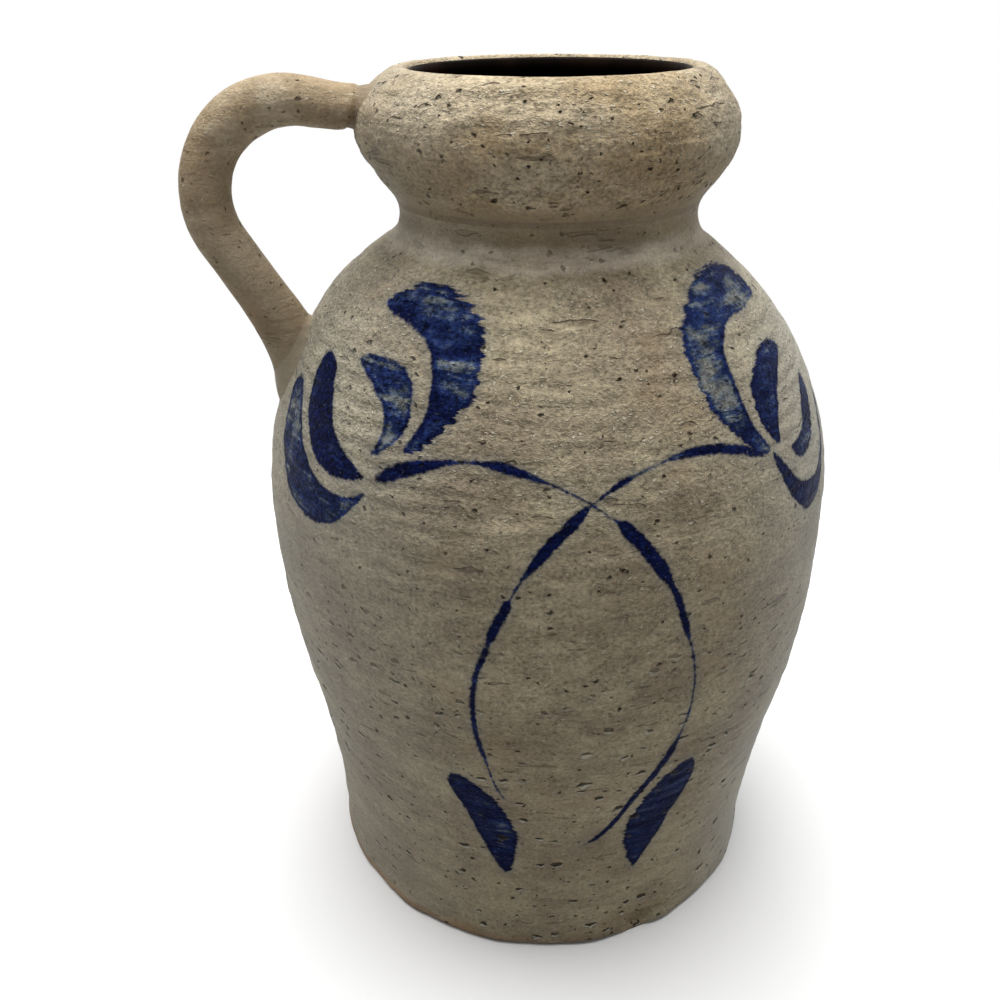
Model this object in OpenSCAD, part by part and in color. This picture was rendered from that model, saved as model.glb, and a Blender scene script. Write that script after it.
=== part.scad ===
// Stoneware jug vase: thrown body, lapped bulbous collar, pulled side handle, brushed cobalt flowers.
// Millimetres, +Z up. The axis of the pot is Z and its foot stands on Z = 0. The handle is on -X.

/* [Body] */
// Height from the table to the top of the lip
jug_h = 270; // [250:1:300]
// Diameter of the foot
foot_d = 156; // [140:1:170]
// Height of the upright band above the foot
foot_h = 8; // [4:1:16]
// Diameter at the belly, the widest place
belly_d = 184; // [178:1:200]
// Radius of the shoulder's arc in section
shoulder_r = 97; // [92:1:106]
// Thickness of the thrown wall
wall = 6.5; // [5:0.5:8]
// Thickness of the floor
floor_t = 9; // [7:1:13]
// Radius of the corner inside, between floor and wall
floor_fillet = 14; // [8:1:20]
// Bevel trimmed round the edge of the foot
foot_bevel = 2; // [1:0.5:3]

/* [Neck and collar] */
// Diameter at the narrowest place of the neck
neck_d = 89; // [84:1:94]
// Radius of the neck's hollow in section
neck_groove_r = 10; // [8:1:13]
// Diameter of the bulbous collar
collar_d = 109; // [105:1:115]
// Radius of the collar's bulge in section
collar_bulge_r = 20; // [18:1:23]
// Diameter of the mouth inside the lip
mouth_d = 80; // [77:1:83]
// Height of the collar's lower edge above the narrowest place of the neck
lap_rise = 4; // [2:0.5:5]
// Height of the neck's inner rim inside the collar
lap_h = 3; // [2:0.5:4]
// Thickness of the slip in the lap joint
slip_t = 0.4; // [0.3:0.1:0.8]

/* [Handle] */
// Thickness of the handle at its upper end, in its own plane
handle_w = 15.4; // [13:0.2:17]
// Thickness of the handle above its tail, in its own plane
handle_low_w = 13.8; // [11:0.2:16]
// Breadth of the handle across its plane
handle_d = 19; // [16:1:24]
// Distance from the pot's axis to the handle's outermost centre line
handle_reach = 100; // [97:1:108]
// Drop from the lip to the handle's highest centre line
handle_drop = 8; // [8:0.5:10]
// Radius of the handle's upper bend
handle_bend_r = 26; // [22:1:30]
// Slope of the upper run, rising away from the collar, in degrees
handle_rise = 7; // [0:1:10]
// Lean of the descending run from upright, in degrees
handle_lean = 30; // [25:1:34]
// Length of the descending run above the tail
handle_fall = 10; // [6:1:14]
// Spread of the handle's upper end where it meets the collar
root_flare = 0.8; // [0.4:0.2:1.2]
// Height of the tail's middle above the belly
tail_rise = 44.5; // [40:0.5:48]
// Height of the tail pressed on the shoulder
tail_h = 27; // [22:1:32]
// Breadth of the tail pressed on the shoulder
tail_d = 22; // [20:1:28]
// Thickness of the slip under the handle's ends
pad_t = 0.8; // [0.5:0.1:1.2]
// Slip squeezed out round the handle's ends
pad_edge = 1.5; // [0.5:0.5:2]

/* [Coats] */
// Thickness of the glaze inside
liner_t = 0.6; // [0.4:0.1:1]
// Bare clay between the lip's top and the glaze inside
liner_drop = 8; // [8:0.5:12]
// Thickness of the brushed cobalt
cobalt_t = 0.3; // [0.2:0.1:0.5]
// Bearing of the left flower from the front, in degrees
left_bearing = -52; // [-56:1:-46]
// Bearing of the right flower from the front, in degrees
right_bearing = 42; // [38:1:48]
// Bearing of the crossed stems from the front, in degrees
stem_bearing = -2; // [-6:1:4]

/* [Hidden] */
$fn = 180;
foot_r = foot_d / 2;
belly_r = belly_d / 2;
neck_r = neck_d / 2;
mouth_r = mouth_d / 2;
far = belly_d + handle_reach;
// Arcs that run smoothly into each other meet with this much in common, and strips overlap by this much
meet = 0.002;
overlap = 0.05;
// Room between the handle and the slip under it, and between the brushed coats and the wall
seat_gap = 0.05;

// Collar: the bulge's centre, and the lip as a round bead at mid wall
bulge_x = collar_d / 2 - collar_bulge_r;
bead_r = wall / 2;
bead_path = collar_bulge_r - bead_r;
bead_angle = acos((mouth_r + bead_r - bulge_x) / bead_path);
bulge_z = jug_h - bead_r - bead_path * sin(bead_angle);
bead_c = [bulge_x, bulge_z] + bead_path * [cos(bead_angle), sin(bead_angle)];

// Neck: a hollow arc that runs smoothly into the collar's bulge above and the shoulder's arc below
groove_x = neck_r + neck_groove_r;
neck_z = bulge_z - sqrt(pow(collar_bulge_r + neck_groove_r, 2) - pow(groove_x - bulge_x, 2));
groove_up = atan2(bulge_z - neck_z, bulge_x - groove_x);
shoulder_x = belly_r - shoulder_r;
belly_z = neck_z - sqrt(pow(shoulder_r + neck_groove_r, 2) - pow(groove_x - shoulder_x, 2));
shoulder_up = atan2(neck_z - belly_z, groove_x - shoulder_x);

// Lower wall: two equal arcs, hollow above the foot and round below the belly
lower_rise = belly_z - foot_h;
lower_flare = belly_r - foot_r;
lower_r = round(100 * (pow(lower_rise / 2, 2) / lower_flare + lower_flare / 4)) / 100;
lower_turn = lower_rise / (2 * lower_r);

// Lap joint between neck and collar
lap_z = neck_z + lap_rise;
lap_r = neck_r - wall / 3;

// Handle centre line: upper run, bend and descending run, as distance from the axis and height
bend_c = [handle_reach - handle_bend_r, jug_h - handle_drop - handle_bend_r];
bend_start = 90 + handle_rise;
bend_sweep = bend_start + handle_lean;
root_way = [-cos(handle_rise), -sin(handle_rise)];
fall_way = [-sin(handle_lean), -cos(handle_lean)];
bend_in = bend_c + handle_bend_r * turned(bend_start);
bend_out = bend_c + handle_bend_r * turned(-handle_lean);
fall_end = bend_out + handle_fall * fall_way;
root_z = bend_in[1] - (bend_in[0] - collar_d / 2) * tan(handle_rise);
root_h = handle_w + 2 * root_flare;
root_d = handle_d + 2 * root_flare;
tail_z = belly_z + tail_rise;
seat = pad_t + seat_gap;

// Brush strokes: [start, end, outer bulge, inner bulge] in hundredths of the belly's diameter, with the
// bulge to the left of the way from start to end. Across is along the wall's tangent at the motif's
// bearing, up is from the belly.
brush = belly_d / 100;
left_petals = [
    [[-18.5, 25.5], [7.6, 16.3], -10.9, -6.5],
    [[-9.8, 30.4], [7.1, 17.9], -6.5, -2.2],
    [[-1.6, 32.1], [6, 20.1], 8.7, 4.3],
    [[-2.7, 39.1], [11.4, 21.7], 14.1, 7.1]];
right_petals = [
    [[-2.7, 17.9], [18.5, 25.5], -13, -8.2],
    [[13, 25], [2.2, 16.8], 5.4, 2.2],
    [[8.2, 31.5], [-0.5, 19], -5.4, -1.6],
    [[8.7, 37.5], [-4.9, 19.6], -14.7, -7.6]];
left_stem_strokes = [
    [[-29.3, 17.4], [-13.6, 21.5], 2.8, 1.3],
    [[-12.5, 21.2], [16.8, -13.6], 9.5, 7.9],
    [[17.1, -16.3], [0, -51.1], 6.6, 5.1]];
right_stem_strokes = [
    [[28.3, 18.5], [1.1, 18.5], -4.5, -2.9],
    [[-1.1, 16.3], [-16.3, -13.6], -4.7, -3.1],
    [[-16.6, -15.8], [-10.9, -39.1], -2.3, -1.2]];
leaf_strokes = [
    [[-21.7, -35.9], [-11.4, -58.2], 6, 0.5],
    [[21.2, -35.3], [10.9, -59.8], -6, -0.5]];

// Half section of the pot, filled to its axis, with its outer line moved inwards by inset
module filled_half(inset) {
    turn_z = foot_h + (lower_r + inset) * lower_turn;
    shoulder_top = belly_z + (shoulder_r - inset) * sin(shoulder_up);
    groove_top = neck_z + (neck_groove_r + inset) * sin(groove_up);
    difference() {
        union() {
            band(foot_r - inset, 0, foot_h);
            band(belly_r, foot_h - overlap, turn_z);
            intersection() {
                band(far, turn_z - overlap, belly_z);
                translate([belly_r - lower_r, belly_z]) circle(lower_r - inset);
            }
        }
        hollow_arc(inset);
    }
    difference() {
        union() {
            intersection() {
                band(far, belly_z - overlap, shoulder_top);
                translate([shoulder_x, belly_z]) circle(shoulder_r - inset);
            }
            band(groove_x, shoulder_top - overlap, groove_top);
            band(bulge_x, groove_top - overlap, bulge_z + collar_bulge_r - inset);
            intersection() {
                band(collar_d, groove_top - overlap, jug_h + wall);
                translate([bulge_x, bulge_z]) circle(collar_bulge_r - inset);
            }
        }
        translate([groove_x, neck_z]) circle(neck_groove_r + inset + meet);
    }
}

// Disc outside the hollow arc of the lower wall
module hollow_arc(inset) {
    translate([foot_r + lower_r, foot_h]) circle(lower_r + inset + meet);
}

// Strip of half section from the axis out to r, between two heights
module band(r, low, high) {
    translate([0, low]) square([r, high - low]);
}

// Half section of the room inside a coat of the given inset, with its round floor corner
module room_half(inset) {
    low = floor_t + inset - wall;
    corner_z = low + floor_fillet;
    reach = lower_r + inset + floor_fillet;
    corner_x = foot_r + lower_r - sqrt(pow(reach, 2) - pow(corner_z - foot_h, 2));
    touch_z = foot_h + (lower_r + inset) * (corner_z - foot_h) / reach;
    difference() {
        filled_half(inset);
        band(far, 0, touch_z - overlap);
    }
    band(corner_x, low, touch_z);
    difference() {
        intersection() {
            band(foot_r, low, touch_z);
            translate([corner_x, corner_z]) circle(floor_fillet);
        }
        hollow_arc(inset);
    }
    band(bulge_x, bulge_z, jug_h + wall);
}

// Half section of the whole clay wall, from the trimmed foot to the round lip
module wall_half() {
    difference() {
        filled_half(0);
        room_half(wall);
        above_lip_half();
        polygon([[foot_r - foot_bevel, 0], [foot_r, 0], [foot_r, foot_bevel]]);
    }
    translate(bead_c) circle(bead_r + meet);
}

// Region past the line where the collar's wall ends in the lip
module above_lip_half() {
    lip_line = far * [cos(bead_angle), sin(bead_angle)];
    centre = [bulge_x, bulge_z];
    polygon([centre, centre + lip_line, [bulge_x, bulge_z + far], [0, bulge_z + far], [0, bulge_z]]);
}

// Region below the lap joint, raised and widened by gap
module below_lap_half(gap) {
    band(far, 0, lap_z + gap);
    band(lap_r + gap, 0, lap_z + lap_h + gap);
}

// Solid of the pot's outside, grown by the given amount
module pot_outside(grow) {
    rotate([0, 0, 90]) rotate_extrude() filled_half(-grow);
}

// Unit way at an angle in the handle's plane
function turned(angle) = [cos(angle), sin(angle)];

// Distances from the axis to the slip's outer face, on the collar and on the shoulder
function collar_seat(z) = bulge_x + sqrt(pow(collar_bulge_r + seat, 2) - pow(z - bulge_z, 2));
function shoulder_seat(z) = shoulder_x + sqrt(pow(shoulder_r + seat, 2) - pow(z - belly_z, 2));

// Point of an oval with the given half sizes about a centre of the handle's plane; out is its outer way
function oval_point(centre, out, half_w, half_d, angle) =
    [centre[0] + out[0] * half_w * cos(angle), half_d * sin(angle), centre[1] + out[1] * half_w * cos(angle)];
// Points where an oval end of the handle, shrunk by share, lies on the collar or on the shoulder
function root_point(angle, share) =
    let (y = share * root_d / 2 * sin(angle), z = root_z + share * root_h / 2 * cos(angle))
    [sqrt(pow(collar_seat(z), 2) - y * y), y, z];
function tail_point(angle, share) =
    let (y = share * tail_d / 2 * sin(angle), z = tail_z - share * tail_h / 2 * cos(angle))
    [sqrt(pow(shoulder_seat(z), 2) - y * y), y, z];
// Point of a smooth curve from p to q that leaves and arrives along the two given pulls
function eased(p, pull_p, q, pull_q, t) =
    pow(1 - t, 3) * p + 3 * t * pow(1 - t, 2) * (p + pull_p) + 3 * t * t * (1 - t) * (q + pull_q) + pow(t, 3) * q;

// Rings of the pulled handle, from the collar over the bend to the pressed tail
handle_sides = 24;
bend_steps = 14;
end_steps = 6;
cap_steps = 4;
angles = [for (k = [0:handle_sides - 1]) 360 * k / handle_sides];
root_pull = (bend_in[0] - collar_d / 2) / 3;
root_rings = [for (i = [0:end_steps - 1]) [for (a = angles)
    eased(root_point(a, 1), [root_pull, 0, 0],
          oval_point(bend_in, turned(bend_start), handle_w / 2, handle_d / 2, a),
          root_pull * [root_way[0], 0, root_way[1]], i / end_steps)]];
bend_rings = [for (i = [0:bend_steps]) let (way = turned(bend_start - bend_sweep * i / bend_steps))
    [for (a = angles) oval_point(bend_c + handle_bend_r * way, way,
        (handle_w + (handle_low_w - handle_w) * i / bend_steps) / 2, handle_d / 2, a)]];
tail_pull = tail_h / 2;
tail_rings = [for (i = [0:end_steps]) [for (a = angles)
    eased(oval_point(fall_end, turned(-handle_lean), handle_low_w / 2, handle_d / 2, a),
          tail_pull * (1 + cos(a) / 2) * [fall_way[0], 0, fall_way[1]],
          tail_point(a, 1), tail_pull * [(1 - cos(a)) / 12, 0, (3 + cos(a)) / 6], i / end_steps)]];
cap_shares = [for (i = [1:cap_steps - 1]) i / cap_steps];
root_cap = [for (share = cap_shares) [for (a = angles) root_point(a, share)]];
tail_cap = [for (share = cap_shares) [for (a = angles) tail_point(a, 1 - share)]];
handle_rings = concat(root_cap, root_rings, bend_rings, tail_rings, tail_cap);

// Solid between two circles that both pass through a stroke's ends
module stroke_shape(stroke) {
    difference() {
        bulged_circle(brush * stroke[0], brush * stroke[1], brush * stroke[2]);
        bulged_circle(brush * stroke[0], brush * stroke[1], brush * stroke[3]);
    }
}

// Circle through two points that stands out by bulge to the left of the way between them
module bulged_circle(from, to, bulge) {
    way = to - from;
    left = [-way[1], way[0]] / norm(way);
    r = (pow(norm(way) / 2, 2) + pow(bulge, 2)) / (2 * abs(bulge));
    translate((from + to) / 2 + left * (bulge - sign(bulge) * r)) circle(r, $fn = 720);
}

// Brushed coat of the given strokes on the pot's outside, facing the given bearing from the front
module brushed(strokes, bearing) {
    color("midnightblue") intersection() {
        difference() {
            pot_outside(seat_gap + cobalt_t);
            pot_outside(seat_gap);
        }
        rotate([0, 0, bearing]) translate([0, 0, belly_z]) rotate([90, 0, 0])
            linear_extrude(far) for (stroke = strokes) stroke_shape(stroke);
    }
}

module body() {
    color("tan") rotate_extrude() intersection() {
        wall_half();
        below_lap_half(0);
    }
}

module collar() {
    color("rosybrown") rotate_extrude() difference() {
        wall_half();
        below_lap_half(slip_t);
    }
}

module neck_slip() {
    color("darkgray") rotate_extrude() difference() {
        intersection() {
            wall_half();
            below_lap_half(slip_t);
        }
        below_lap_half(0);
    }
}

module handle() {
    last = len(handle_rings) * handle_sides + 1;
    color("burlywood") mirror([1, 0, 0]) polyhedron(
        points = concat([root_point(0, 0)], [for (ring = handle_rings) each ring], [tail_point(0, 0)]),
        faces = concat(
            [for (k = [0:handle_sides - 1]) [0, corner(0, k), corner(0, k + 1)]],
            [for (i = [0:len(handle_rings) - 2], k = [0:handle_sides - 1])
                each [[corner(i, k), corner(i + 1, k), corner(i + 1, k + 1)],
                      [corner(i, k), corner(i + 1, k + 1), corner(i, k + 1)]]],
            [for (k = [0:handle_sides - 1])
                [last, corner(len(handle_rings) - 1, k + 1), corner(len(handle_rings) - 1, k)]]));
}

// Number of a handle point by its ring and its place round the ring
function corner(ring, k) = 1 + ring * handle_sides + k % handle_sides;

// Slip on the pot's outside under a handle end, as an oval of the given size about a height on -X
module slip_pad(middle_z, high, wide) {
    edge_r = min(high, wide) / 2 + pad_edge;
    reach = [(high - min(high, wide)) / 2, (wide - min(high, wide)) / 2];
    color("darkgray") intersection() {
        difference() {
            pot_outside(pad_t);
            pot_outside(0);
        }
        translate([0, 0, middle_z]) rotate([0, -90, 0]) linear_extrude(far) {
            for (side = [-1, 1]) translate(side * reach) circle(edge_r);
            square(high > wide ? [2 * reach[0], 2 * edge_r] : [2 * edge_r, 2 * reach[1]], center = true);
        }
    }
}

module handle_upper_slip() {
    slip_pad(root_z, root_h, root_d);
}

module handle_lower_slip() {
    slip_pad(tail_z, tail_h, tail_d);
}

module liner_glaze() {
    color("black") rotate_extrude() difference() {
        room_half(wall);
        room_half(wall + liner_t);
        band(far, jug_h - liner_drop, jug_h + far);
    }
}

module left_tulip() {
    brushed(left_petals, left_bearing);
}

module right_tulip() {
    brushed(right_petals, right_bearing);
}

module left_stem() {
    brushed(left_stem_strokes, stem_bearing);
}

module right_stem() {
    brushed(right_stem_strokes, stem_bearing);
}

module leaves() {
    brushed(leaf_strokes, stem_bearing);
}

body();
collar();
neck_slip();
handle();
handle_upper_slip();
handle_lower_slip();
liner_glaze();
left_tulip();
right_tulip();
left_stem();
right_stem();
leaves();
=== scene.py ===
# Stoneware jug vase with a bulbous collar, a pulled side handle and brushed cobalt flowers.
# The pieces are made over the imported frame, in the order in which the potter puts them together.
import math

import bmesh
import bpy
from mathutils import Matrix, Vector


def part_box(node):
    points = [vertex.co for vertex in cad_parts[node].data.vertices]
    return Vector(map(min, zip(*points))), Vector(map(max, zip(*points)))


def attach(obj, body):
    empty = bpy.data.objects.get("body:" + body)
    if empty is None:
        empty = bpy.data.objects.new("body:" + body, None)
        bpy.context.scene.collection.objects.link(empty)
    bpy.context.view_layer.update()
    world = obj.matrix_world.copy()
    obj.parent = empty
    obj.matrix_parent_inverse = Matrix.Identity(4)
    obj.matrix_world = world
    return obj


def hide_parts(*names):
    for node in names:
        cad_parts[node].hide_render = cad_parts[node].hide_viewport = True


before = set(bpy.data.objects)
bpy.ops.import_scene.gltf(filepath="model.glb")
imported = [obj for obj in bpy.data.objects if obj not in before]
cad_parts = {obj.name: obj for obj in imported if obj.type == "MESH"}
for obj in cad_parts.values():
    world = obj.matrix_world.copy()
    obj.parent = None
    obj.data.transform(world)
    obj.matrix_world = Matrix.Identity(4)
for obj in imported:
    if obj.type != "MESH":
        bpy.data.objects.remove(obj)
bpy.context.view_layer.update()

# Body: the pot itself, from its trimmed foot over the belly and the shoulder to the neck.
# Grey-tan stoneware clay with coarse grog, salt glazed. It is thrown on the wheel, so throwing
# lines run round it, and its neck ends in a half lap that carries the collar.
foot_r = 0.078
foot_h = 0.008
foot_bevel = 0.002
belly_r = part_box("body")[1][0]
shoulder_arc = 0.097
neck_r = 0.0445
neck_arc = 0.010
wall = 0.0065
floor_up = 0.009
floor_arc = 0.014
lip_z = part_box("collar")[1][2]
collar_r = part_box("collar")[1][0]
collar_arc = 0.020
mouth_r = 0.040
lap_rise = 0.004
lap_h = 0.003
lap_r = neck_r - wall / 3
body_rounds = 360
throwing_pitch = 0.0046
throwing_depth = 0.00016

# The same smooth run of arcs as the solid has: collar bulge, neck hollow, shoulder and lower wall
bead_r = wall / 2
collar_x = collar_r - collar_arc
lip_turn = math.acos((mouth_r + bead_r - collar_x) / (collar_arc - bead_r))
collar_z = lip_z - bead_r - (collar_arc - bead_r) * math.sin(lip_turn)
neck_x = neck_r + neck_arc
neck_z = collar_z - math.sqrt((collar_arc + neck_arc) ** 2 - (neck_x - collar_x) ** 2)
shoulder_x = belly_r - shoulder_arc
belly_z = neck_z - math.sqrt((shoulder_arc + neck_arc) ** 2 - (neck_x - shoulder_x) ** 2)
shoulder_turn = math.atan2(neck_z - belly_z, neck_x - shoulder_x)
lower_rise = (belly_z - foot_h) / 2
lower_arc = lower_rise ** 2 / (belly_r - foot_r) + (belly_r - foot_r) / 4
lower_turn = math.asin(lower_rise / lower_arc)
lap_z = neck_z + lap_rise
lap_turn = math.asin(lap_rise / neck_arc)
inner_lap_turn = math.asin((lap_rise + lap_h) / (neck_arc + wall))


def draw_from(name, x, z):
    """Starts a half section with one vertex at a distance from the axis and a height."""
    bpy.ops.object.select_all(action="DESELECT")
    bpy.ops.mesh.primitive_plane_add(size=0.001)
    piece = bpy.context.object
    piece.name = name
    bpy.ops.object.mode_set(mode="EDIT")
    bpy.ops.mesh.select_all(action="SELECT")
    bpy.ops.mesh.merge(type="CENTER")
    bpy.ops.transform.translate(value=(x, 0, z))
    return piece


def line_to(x, z, cuts):
    """Draws the half section on to a point in a straight line of so many lengths."""
    mesh = bmesh.from_edit_mesh(bpy.context.object.data)
    pen = [vertex.co.copy() for vertex in mesh.verts if vertex.select][0]
    step = (Vector((x, 0, z)) - pen) / cuts
    for _ in range(cuts):
        bpy.ops.mesh.extrude_region_move(TRANSFORM_OT_translate={"value": step})


def arc_about(x, z, turn, cuts):
    """Draws the half section on round a centre, anticlockwise where the turn is positive."""
    bpy.ops.mesh.spin(steps=cuts, angle=turn, center=(x, 0, z), axis=(0, 1, 0))


def throw_round(rounds):
    """Turns the half section once round the pot's axis and closes its seam."""
    bpy.ops.object.mode_set(mode="OBJECT")
    bpy.ops.object.modifier_add(type="SCREW")
    wheel = bpy.context.object.modifiers[-1]
    wheel.steps = rounds
    wheel.render_steps = rounds
    wheel.use_merge_vertices = True
    wheel.merge_threshold = 0.00001
    bpy.ops.object.modifier_apply(modifier=wheel.name)
    bpy.ops.object.mode_set(mode="EDIT")
    bpy.ops.mesh.select_all(action="SELECT")
    bpy.ops.mesh.remove_doubles(threshold=0.00001)
    bpy.ops.mesh.normals_make_consistent(inside=False)
    bpy.ops.object.mode_set(mode="OBJECT")
    bpy.ops.object.shade_smooth()


def facing_out(vertex):
    """Way from the pot's axis to a vertex, and how far its wall faces that way, from 0 to 1."""
    away = Vector((vertex.co.x, vertex.co.y, 0)).normalized()
    return away, min(1, max(0, (vertex.normal.dot(away) + 0.6) * 2))


def mark_skin(piece, low, full_low, full_high, high):
    """Marks the rough outer skin: fully between two heights, fading to the ends, not on the inside."""
    group = piece.vertex_groups.new(name="skin")
    for vertex in piece.data.vertices:
        outer = facing_out(vertex)[1]
        above = min(1, max(0, (vertex.co.z - low) / (full_low - low)))
        below = min(1, max(0, (high - vertex.co.z) / (high - full_high)))
        group.add([vertex.index], outer * above * below, "REPLACE")


def swell(piece, bearing, spread, low, high, depth):
    """Swells the outer wall round a bearing and between two heights, easing to nothing at the edges."""
    group = piece.vertex_groups.new(name="swell")
    for vertex in piece.data.vertices:
        if low < vertex.co.z < high:
            away, outer = facing_out(vertex)
            aside = abs((math.atan2(away.y, away.x) - bearing + math.pi) % (2 * math.pi) - math.pi)
            across = math.cos(min(1, aside / spread) * math.pi / 2)
            climb = math.sin(math.pi * (vertex.co.z - low) / (high - low))
            group.add([vertex.index], outer * across * climb, "REPLACE")
    bulge = piece.modifiers.new("swell", "DISPLACE")
    bulge.vertex_group = "swell"
    bulge.strength = depth
    bulge.mid_level = 0
    bpy.ops.object.modifier_apply(modifier=bulge.name)
    piece.vertex_groups.remove(piece.vertex_groups["swell"])


def roughen(piece, name, kind, grain, depth, stretch):
    """Presses a clay texture into the marked skin, stretched round the pot, and never outwards."""
    texture = bpy.data.textures.new(name, type=kind)
    texture.noise_scale = grain
    bpy.ops.object.select_all(action="DESELECT")
    bpy.ops.object.empty_add()
    stretcher = bpy.context.object
    stretcher.scale = (stretch, stretch, 1)
    bpy.context.view_layer.update()
    bpy.ops.object.select_all(action="DESELECT")
    piece.select_set(True)
    bpy.context.view_layer.objects.active = piece
    press = piece.modifiers.new(name, "DISPLACE")
    press.texture = texture
    press.texture_coords = "OBJECT"
    press.texture_coords_object = stretcher
    press.vertex_group = "skin"
    press.strength = depth
    press.mid_level = 1
    bpy.ops.object.modifier_apply(modifier=name)
    bpy.data.objects.remove(stretcher)


body = draw_from("body", 0, 0)
line_to(foot_r - foot_bevel, 0, 6)
line_to(foot_r, foot_bevel, 3)
line_to(foot_r, foot_h, 5)
arc_about(foot_r + lower_arc, foot_h, -lower_turn, 54)
arc_about(belly_r - lower_arc, belly_z, lower_turn, 54)
arc_about(shoulder_x, belly_z, shoulder_turn, 78)
arc_about(neck_x, neck_z, -shoulder_turn - lap_turn, 14)
line_to(lap_r, lap_z, 1)
line_to(lap_r, lap_z + lap_h, 1)
line_to(neck_x - (neck_arc + wall) * math.cos(inner_lap_turn), lap_z + lap_h, 1)
arc_about(neck_x, neck_z, inner_lap_turn + shoulder_turn, 5)
arc_about(shoulder_x, belly_z, -shoulder_turn, 8)
arc_about(belly_r - lower_arc, belly_z, -lower_turn, 4)
corner_turn = math.asin((floor_up + floor_arc - foot_h) / (lower_arc + wall))
corner_x = foot_r + lower_arc - (lower_arc + wall) * math.cos(corner_turn) - floor_arc
arc_about(foot_r + lower_arc, foot_h, lower_turn - corner_turn, 4)
arc_about(corner_x, floor_up + floor_arc, -math.pi / 2, 4)
line_to(0, floor_up, 4)
throw_round(body_rounds)
swell(body, bearing=math.radians(-5), spread=math.radians(75),
      low=0.014, high=belly_z - 0.006, depth=0.0022)
swell(body, bearing=math.pi, spread=math.radians(60),
      low=belly_z + 0.050, high=neck_z - 0.004, depth=0.0018)
# Lumps and nicks round the foot: their bearing and spread in degrees, and how far they stand out
foot_lumps = ((-74, 3.5, -0.0024), (-88, 7, 0.0008), (-66, 5, 0.0008), (-112, 9, 0.0007),
              (-136, 6, 0.0008), (-150, 5, -0.0007), (-40, 7, 0.0006), (60, 8, 0.0007))
for bearing, spread, depth in foot_lumps:
    swell(body, math.radians(bearing), math.radians(spread), low=0, high=foot_h + 0.001, depth=depth)
mark_skin(body, low=0.0005, full_low=0.0025, full_high=neck_z - 0.014, high=neck_z - 0.003)
roughen(body, "uneven_throwing", "CLOUDS", grain=0.06, depth=0.0009, stretch=1)
roughen(body, "throwing_lines", "CLOUDS", grain=0.0045, depth=0.0005, stretch=9)
roughen(body, "grog_drag", "CLOUDS", grain=0.0042, depth=0.0006, stretch=2.5)


def lay(tree, kind, sockets=None, **settings):
    """Adds a node with its settings, and with each socket set to a value or joined to another's."""
    node = tree.nodes.new("ShaderNode" + kind)
    for name, value in settings.items():
        setattr(node, name, value)
    for name, value in (sockets or {}).items():
        if isinstance(value, bpy.types.NodeSocket):
            tree.links.new(value, node.inputs[name])
        else:
            node.inputs[name].default_value = value
    return node


def reckon(tree, operation, *values):
    """Result of one sum on sockets and numbers."""
    return lay(tree, "Math", dict(enumerate(values)), operation=operation).outputs[0]


def eased(tree, value, low, high):
    """Value eased from 0 at low to 1 at high."""
    sockets = {"Value": value, "From Min": low, "From Max": high}
    return lay(tree, "MapRange", sockets, interpolation_type="SMOOTHSTEP").outputs[0]


def tint(tree, share, under, over, blend="MIX"):
    """Colour of one coat over another, by a share."""
    node = lay(tree, "Mix", data_type="RGBA", blend_type=blend)
    for socket, value in ((node.inputs[0], share), (node.inputs[6], under), (node.inputs[7], over)):
        if isinstance(value, bpy.types.NodeSocket):
            tree.links.new(value, socket)
        else:
            socket.default_value = value
    return node.outputs[2]


def drawn_out(tree, spot, stretch, shift):
    """Object coordinates squeezed so that a pattern on them is drawn out round the pot."""
    return lay(tree, "Mapping", {"Vector": spot, "Scale": (1, 1, stretch), "Location": shift}).outputs[0]


def clouds(tree, spot, scale, detail, roughness):
    """Soft noise of the given fineness, from 0 to 1."""
    sockets = {"Vector": spot, "Scale": scale, "Detail": detail, "Roughness": roughness}
    return lay(tree, "TexNoise", sockets).outputs[0]


def blots(tree, spot, scale, detail, low, high):
    """Separate uneven spots, where soft noise of the given fineness rises from low to high."""
    return eased(tree, clouds(tree, spot, scale, detail, 0.62), low, high)


def scattered(tree, spot, scale, share, size, flat=0.4):
    """Separate spots in a share of a scatter's cells, of uneven sizes up to a part of a cell."""
    scatter = lay(tree, "TexVoronoi", {"Vector": spot, "Scale": scale})
    pick = lay(tree, "SeparateColor", {"Color": scatter.outputs["Color"]}).outputs[0]
    chosen = reckon(tree, "MAXIMUM", reckon(tree, "SUBTRACT", pick, 1 - share), 0)
    radius = reckon(tree, "MULTIPLY_ADD", chosen, size / share, 0.0001)
    return eased(tree, scatter.outputs["Distance"], radius, reckon(tree, "MULTIPLY", radius, flat))


def centred(tree, noise):
    """Noise from 0 to 1, shifted to swing about 0."""
    return reckon(tree, "SUBTRACT", noise, 0.5)


def rumpled(tree, spot, scale, detail, reach):
    """Object coordinates pushed about by soft noise, so that spots on them come out uneven."""
    push = lay(tree, "TexNoise", {"Vector": spot, "Scale": scale, "Detail": detail}).outputs["Color"]
    sockets = {0: push, 1: (reach, reach, reach), 2: spot}
    return lay(tree, "VectorMath", sockets, operation="MULTIPLY_ADD").outputs["Vector"]


def placed(tree):
    """Distance to the right of the pot's axis, and height, of a spot."""
    parts = lay(tree, "SeparateXYZ", {"Vector": lay(tree, "TexCoord").outputs["Object"]})
    return parts.outputs[0], parts.outputs[2]


grog_and_glint_pale = (0.72, 0.67, 0.54, 1)
speck_iron = (0.055, 0.038, 0.024, 1)
gouge_painted_shade = (0.085, 0.058, 0.04, 1)
pit_painted_shade = (0.010, 0.007, 0.005, 1)
grain_relief = 0.0006
dab_relief = 0.0007
grog_relief = 0.0003
gouge_relief = -0.0006
pit_relief = -0.0010
streak_relief = 0.0008


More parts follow.
